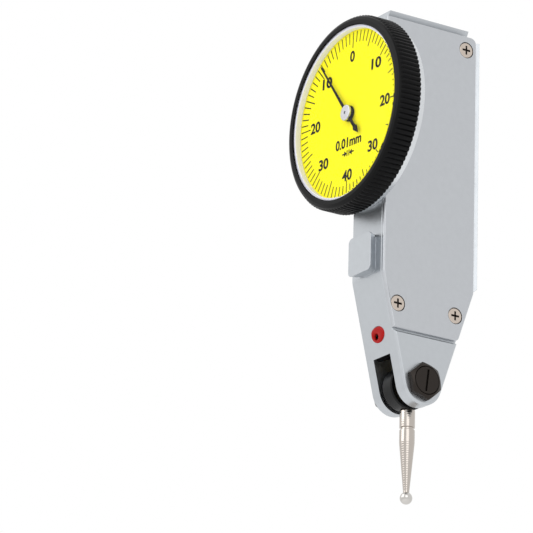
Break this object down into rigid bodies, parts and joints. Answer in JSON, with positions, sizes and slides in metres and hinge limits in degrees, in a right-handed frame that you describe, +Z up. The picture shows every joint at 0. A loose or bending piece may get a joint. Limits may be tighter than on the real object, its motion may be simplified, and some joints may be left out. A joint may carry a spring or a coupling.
{
  "type": "dial test indicator",
  "caption": "Lever dial test indicator with dovetail rails, swivelling ball contact, turning bezel and yellow dial.",
  "frame": {"origin": "middle of the outer face of the rear dovetail rail, where a holder clamps the indicator", "axes": "+Z up the case away from the contact point, -Y out of the dial, +X towards the side cover"},
  "size_m": [0.032, 0.0245, 0.0803],
  "materials": {
    "satin_chrome": "satin plated casting",
    "satin_chrome_cover": "satin plated flat cover",
    "nickel_screw": "bright nickel",
    "seat_nickel": "turned and plated",
    "black_plastic": "semi-matte moulded",
    "clear_crystal": "clear polished",
    "spacer_nickel": "bright nickel",
    "yellow_dial": "matt printed paint",
    "black_hand": "matt black",
    "bright_hub": "polished",
    "black_steel": "black oxide",
    "black_holder": "black oxide",
    "polished_stem": "fine turned and polished",
    "polished_ball": "lapped mirror",
    "red_lacquer": "glossy sealing lacquer",
    "movement_brass": "fine machined",
    "movement_steel": "ground",
    "spring_steel": "bright spring steel",
    "spring_alloy": "bright spring alloy"
  },
  "bodies": {
    "case": {"case_body": "satin_chrome", "side_cover": "satin_chrome_cover", "cover_screws": "nickel_screw", "dial_seat": "seat_nickel", "seat_screws": "movement_steel", "bezel_snap_ring": "spring_steel", "spring_stud": "movement_brass", "pivot_screw_right": "black_steel", "pivot_screw_left": "black_steel", "sealing_lacquer": "red_lacquer", "setting_screw": "movement_steel", "movement_plate": "movement_brass", "plate_screws": "movement_steel", "stop_pin": "movement_steel", "arbor_bushes": "movement_brass", "pointer_bushes": "movement_brass"},
    "bezel": {"bezel_ring": "black_plastic", "crystal": "clear_crystal", "crystal_spacer": "spacer_nickel", "dial_plate": "yellow_dial"},
    "pointer": {"pointer_arbor": "movement_steel", "pointer_hand": "black_hand", "pointer_hub": "bright_hub", "hand_boss": "black_hand", "spring_collet": "movement_brass", "hairspring": "spring_alloy"},
    "crown": {"crown_wheel": "movement_brass", "wheel_arbor": "movement_steel"},
    "sector": {"sector_gear": "movement_brass", "sector_arbor": "movement_steel"},
    "lever": {"drive_lever": "movement_brass", "drive_pins": "movement_steel", "stylus_arbor": "movement_steel", "clutch_washer": "spring_steel"},
    "stylus": {"stylus_holder": "black_holder", "contact_point": "polished_stem", "contact_ball": "polished_ball"}
  },
  "joints": [
    {"name": "sector_swing", "type": "hinge", "parent": "case", "child": "sector", "pos_m": [0, -0.0112, -0.02715], "axis": [1, 0, 0], "range_deg": [0, 6.82]},
    {"name": "lever_swing", "type": "hinge", "parent": "case", "child": "lever", "pos_m": [0, -0.0112, -0.03865], "axis": [-1, 0, 0], "range_deg": [0, 2.73]},
    {"name": "crown_spin", "type": "hinge", "parent": "case", "child": "crown", "pos_m": [0, -0.0112, 0.00485], "axis": [-1, 0, 0], "range_deg": [0, 102.4]},
    {"name": "pointer_spin", "type": "hinge", "parent": "case", "child": "pointer", "pos_m": [0, -0.0191, 0.00485], "axis": [0, 1, 0], "range_deg": [0, 380.2], "stiffness_Nm_per_rad": 0.000001, "springref_deg": -343.77, "deforming": ["hairspring"]},
    {"name": "stylus_swivel", "type": "hinge", "parent": "lever", "child": "stylus", "pos_m": [0, -0.0112, -0.03865], "axis": [-1, 0, 0], "range_deg": [-112, 112]},
    {"name": "bezel_turn", "type": "hinge", "parent": "case", "child": "bezel", "pos_m": [0, -0.0191, 0.00485], "axis": [0, 1, 0], "continuous": true}
  ],
  "couplings": [
    {"joint": "lever_swing", "follows": "sector_swing", "ratio": 0.4},
    {"joint": "crown_spin", "follows": "sector_swing", "ratio": 15},
    {"joint": "pointer_spin", "follows": "sector_swing", "ratio": 55.714}
  ]
}
